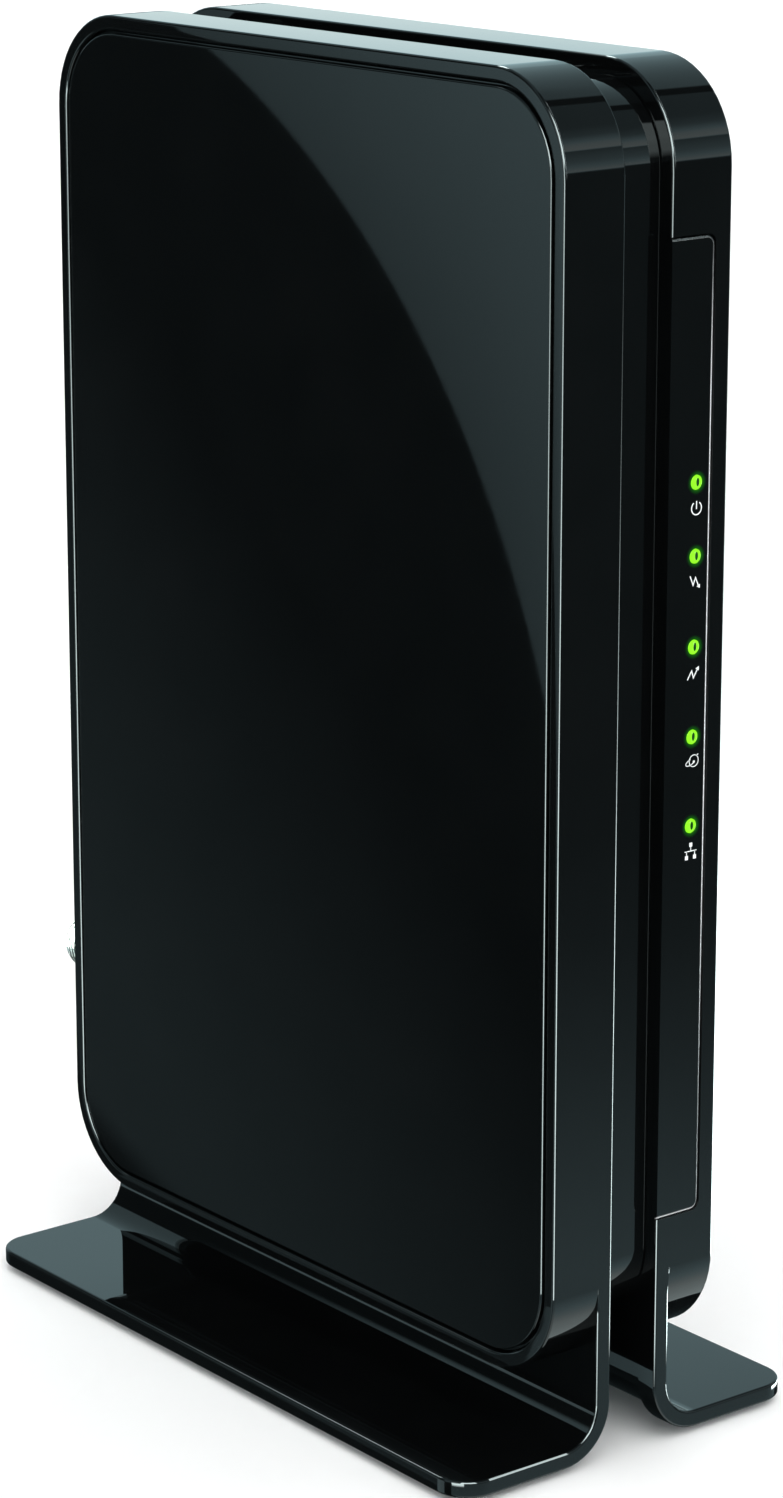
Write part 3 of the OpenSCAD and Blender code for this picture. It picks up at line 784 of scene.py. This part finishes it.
# Each curve is a list of (degrees above the horizon, radiance)
FRONT_CURVE = [
    (-90, 1.35), (-52, 1.42), (-45, 1.40), (-39, 1.12), (-33, 0.90), (-27.5, 0.70), (-24, 0.57),
    (-21.6, 0.60), (-20.6, 0.46), (-19.6, 0.34), (-18.8, 0.24), (-17.5, 0.14), (-15.7, 0.08),
    (0.6, 0.08), (1.0, 1.25), (9, 0.62), (17.8, 0.32), (18.4, 1.3), (23, 1.1), (29, 0.42),
    (35, 0.24), (47, 0.21), (90, 0.2),
]
BACK_CURVE = [
    (-90, 0.02), (-24, 0.02), (-14, 0.3), (-8, 0.12), (3, 0.2), (4.6, 1.25), (6.2, 1.1), (9, 0.85),
    (14, 0.80), (21.7, 0.86), (23.2, 0.69), (30, 0.66), (40, 0.6), (48, 0.53), (50, 0.42), (90, 0.4),
]
STRIP_CURVE = [(-23.6, 0), (-22.8, 22), (-16, 23), (-9, 15), (0, 13), (12, 6), (40, 0)]
EDGE_CURVE = [(-22.9, 0), (-22.5, 26), (-17, 23), (-15, 12), (-12, 4), (-9, 1), (0, 0)]
HIGH_CURVE = [(5, 0), (12, 20), (50, 20), (58, 0)]
# Tall narrow lights: the azimuth of the middle, half the width, both in degrees, and the curve
STRIPS = ((-155, 20, STRIP_CURVE), (3, 26, EDGE_CURVE), (-122, 26, HIGH_CURVE))
# No radiance in the soft boxes' curves, or in the strips', is above these
SOFT_BOX_TOP = 2.0
STRIP_TOP = 30.0
# The card beyond the left face: its middle and radius, where places are y and z over distance in x
CARD_SIDE = 1.52
CARD_RISE = -0.5165
CARD_RADIUS = 0.371
DARK_FLOOR = 0.04
# The overhead gap between the front and back soft boxes
GAP_RADIANCE = 0.03
# The radiance between which reflections turn from bluish to nearly neutral
TINT_CHANGE = (0.85, 1.3)
WORLD_STRENGTH = 1.2
FLOOR_HALF = 4.0
DIM_TINT = (0.68, 1.0, 1.07, 1)
BRIGHT_TINT = (0.84, 1.0, 1.0, 1)


def inside_band(graph, value, low, high, soft=0.01):
    """1 where the value lies between low and high, and 0 outside."""
    return graph.math("MULTIPLY", graph.ease(value, low - soft, low), graph.ease(value, high + soft, high))


def left_card(graph, x, y, z):
    """A round dark card before a large soft box, beyond the left face, over a dark floor."""
    away = graph.math("MAXIMUM", graph.math("MULTIPLY", x, -1.0), 0.05)
    side = graph.math("DIVIDE", y, away)
    rise = graph.math("DIVIDE", z, away)
    side_off = graph.math("SUBTRACT", side, CARD_SIDE)
    rise_off = graph.math("SUBTRACT", rise, CARD_RISE)
    squares = graph.math("ADD", graph.math("POWER", side_off, 2.0), graph.math("POWER", rise_off, 2.0))
    outside = graph.math("SUBTRACT", graph.math("SQRT", squares), CARD_RADIUS)
    box_light = graph.ease(outside, 0.0, 0.15, 0.40, 1.0, "LINEAR")
    lower = graph.math("ADD", graph.math("MULTIPLY", side_off, 0.9), graph.math("MULTIPLY", rise, -1.0))
    card_light = graph.ease(lower, 0.20, 0.50, 0.03, 0.17, "LINEAR")
    light = graph.blend(graph.ease(outside, -0.0008, 0.0008), card_light, box_light)
    over_floor = graph.math("ADD", rise, graph.math("MULTIPLY", side, -0.4))
    light = graph.blend(graph.ease(over_floor, -1.21, -1.23), light, DARK_FLOOR)
    return graph.blend(graph.ease(z, -0.04, -0.01), light, DARK_FLOOR)


def studio_radiance(graph):
    """The soft boxes, card, strips, tubes and dark gap that the gloss reflects, by direction."""
    direction = graph.add("TexCoord").outputs["Generated"]
    x, y, z = graph.parts(direction)
    degrees = 180 / math.pi
    azimuth = graph.math("MULTIPLY", graph.math("ARCTAN2", y, x), degrees)
    elevation = graph.math("MULTIPLY", graph.math("ARCSINE", z), degrees)

    front = radiance_curve(graph, elevation, FRONT_CURVE, SOFT_BOX_TOP)
    back = radiance_curve(graph, elevation, BACK_CURVE, SOFT_BOX_TOP)
    gap = graph.math("MULTIPLY", graph.ease(y, -0.19, -0.16), graph.ease(z, -0.1, 0.0))
    overhead = graph.blend(gap, front, GAP_RADIANCE)
    radiance = graph.blend(graph.ease(y, -0.08, -0.04), overhead, back)

    beyond_left = graph.math("MULTIPLY", graph.ease(x, -0.30, -0.34), graph.ease(y, 0.3, 0.34))
    beyond_left = graph.math("MULTIPLY", beyond_left, graph.ease(z, 0.72, 0.64))
    radiance = graph.blend(beyond_left, radiance, left_card(graph, x, y, z))

    for centre, half, curve in STRIPS:
        off = graph.math("ABSOLUTE", graph.math("SUBTRACT", azimuth, centre))
        light = radiance_curve(graph, elevation, curve, STRIP_TOP)
        strip = graph.math("MULTIPLY", graph.ease(off, half, half - 2), light)
        radiance = graph.math("ADD", radiance, strip)

    # Two curved tubes: one arches over from the front, one over from the left
    front_tube = graph.math("MULTIPLY", inside_band(graph, x, 0.56, 0.61), graph.ease(y, -0.1, -0.15))
    front_tube = graph.math("MULTIPLY", front_tube, graph.ease(z, -0.1, 0.0, 0.0, 14.0))
    left_tube = graph.math("MULTIPLY", inside_band(graph, y, 0.655, 0.70, 0.06), graph.ease(z, 0.35, 0.5))
    left_tube = graph.math("MULTIPLY", left_tube, graph.ease(x, -0.05, 0.0, 0.8, 16.0))
    left_tube = graph.math("MULTIPLY", left_tube, graph.ease(x, 0.45, 0.42))
    return graph.math("ADD", radiance, graph.math("ADD", front_tube, left_tube))


def make_world():
    """A white world that only the gloss sees as a studio."""
    world = bpy.data.worlds.new("studio")
    bpy.context.scene.world = world
    world.use_nodes = True
    graph = Graph(world.node_tree)
    seen = graph.add("LightPath").outputs["Is Glossy Ray"]
    radiance = studio_radiance(graph)
    tint = graph.tint(graph.ease(radiance, *TINT_CHANGE), DIM_TINT, BRIGHT_TINT)
    gloss = graph.add("Background", {"Color": tint, "Strength": radiance})
    pale = graph.add("Background", {"Color": (1, 1, 1, 1), "Strength": WORLD_STRENGTH})
    mixed = graph.add("MixShader", {0: seen, 1: pale.outputs[0], 2: gloss.outputs[0]})
    graph.add("OutputWorld", {"Surface": mixed.outputs[0]})


def make_floor():
    shape = bmesh.new()
    bmesh.ops.create_grid(shape, x_segments=1, y_segments=1, size=FLOOR_HALF)
    mesh = bpy.data.meshes.new("floor")
    shape.to_mesh(mesh)
    shape.free()
    floor = new_object("floor", mesh)
    paint = surface("floor_paint", (0.86, 0.86, 0.86), 0.9, mottle=0.01, mottle_scale=3.0)
    floor.data.materials.append(paint)
    floor.visible_glossy = False


def make_lamp():
    lamp = bpy.data.lights.new("soft_lamp", "SUN")
    lamp.energy = 1.0
    lamp.angle = math.radians(50)
    holder = bpy.data.objects.new("soft_lamp", lamp)
    holder.rotation_euler = (math.radians(35), math.radians(-15), 0)
    holder.visible_glossy = False
    bpy.context.scene.collection.objects.link(holder)


CAMERA_PLACE = Vector((-407.15, -522.93, 273.04)) * MM
CAMERA_TURN = (75.57, 0.282, -37.359)
CAMERA_LENS = 105.47
CAMERA_SHIFT = (0.0587, -0.0306)


def make_camera():
    camera = bpy.data.cameras.new("camera")
    camera.lens = CAMERA_LENS
    camera.sensor_width = 36
    camera.shift_x, camera.shift_y = CAMERA_SHIFT
    camera.clip_start = 0.01
    camera.clip_end = 20
    holder = bpy.data.objects.new("camera", camera)
    holder.location = CAMERA_PLACE
    holder.rotation_euler = [math.radians(a) for a in CAMERA_TURN]
    bpy.context.scene.collection.objects.link(holder)
    bpy.context.scene.camera = holder


make_world()
make_floor()
make_lamp()
make_camera()
bpy.context.scene.view_settings.view_transform = "Standard"
